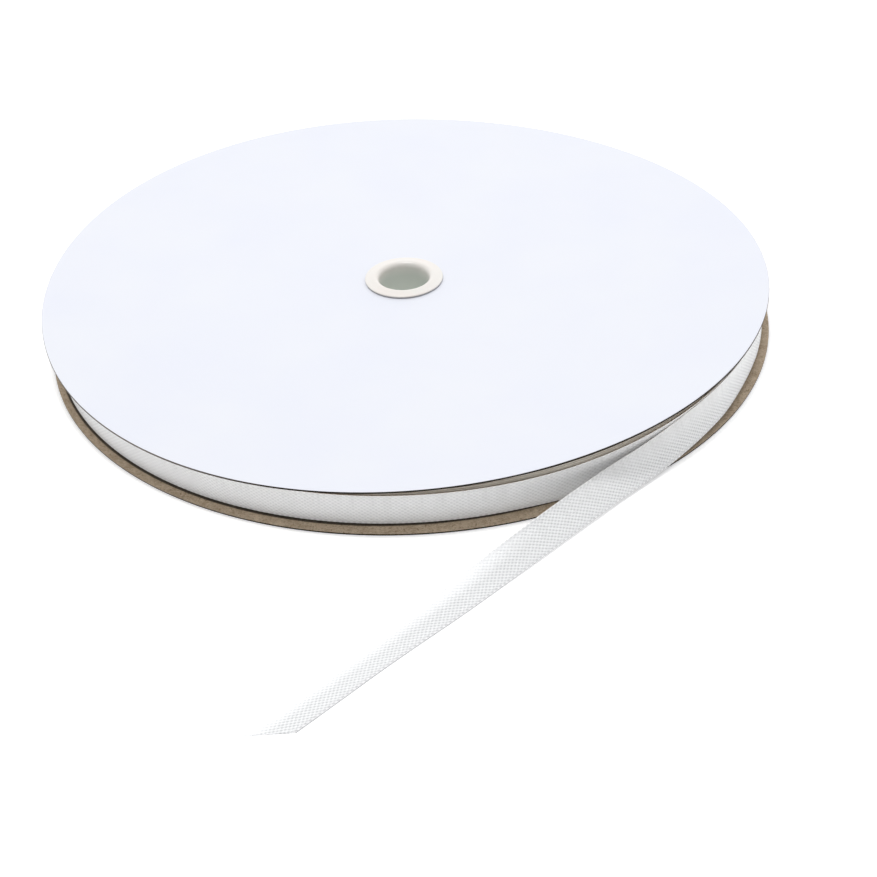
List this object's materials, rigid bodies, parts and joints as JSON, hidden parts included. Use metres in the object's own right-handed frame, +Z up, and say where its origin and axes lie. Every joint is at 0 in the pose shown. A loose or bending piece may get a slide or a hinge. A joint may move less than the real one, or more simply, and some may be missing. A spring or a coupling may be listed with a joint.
{
  "type": "roll of seam binding tape on a card reel",
  "caption": "Flat card reel lying on its side, wound with narrow woven seam binding tape, its loose end run out over the rim and twisted down flat.",
  "frame": {"origin": "centre of the footprint, on the surface that the reel lies on, so the reel's axis stands at x -0.0002, y 0.0373", "axes": "+Z up along the reel's axis, -Y towards the side where the loose end runs out, +X to the right seen from there"},
  "size_m": [0.2302, 0.307, 0.0162],
  "materials": {
    "white_card": "white laminated face, brown cut edge, satin",
    "kraft_card": "matt brown kraft inside, white laminated outside",
    "hub_plastic": "semi-gloss moulded off-white",
    "wound_tape": "white plain-woven tape, wound on edge",
    "loose_tape": "white plain-woven tape, single layer"
  },
  "bodies": {
    "root": {"flange_bottom": "kraft_card", "flange_top": "white_card", "hub": "hub_plastic", "winding": "wound_tape", "tail": "loose_tape"}
  },
  "joints": []
}
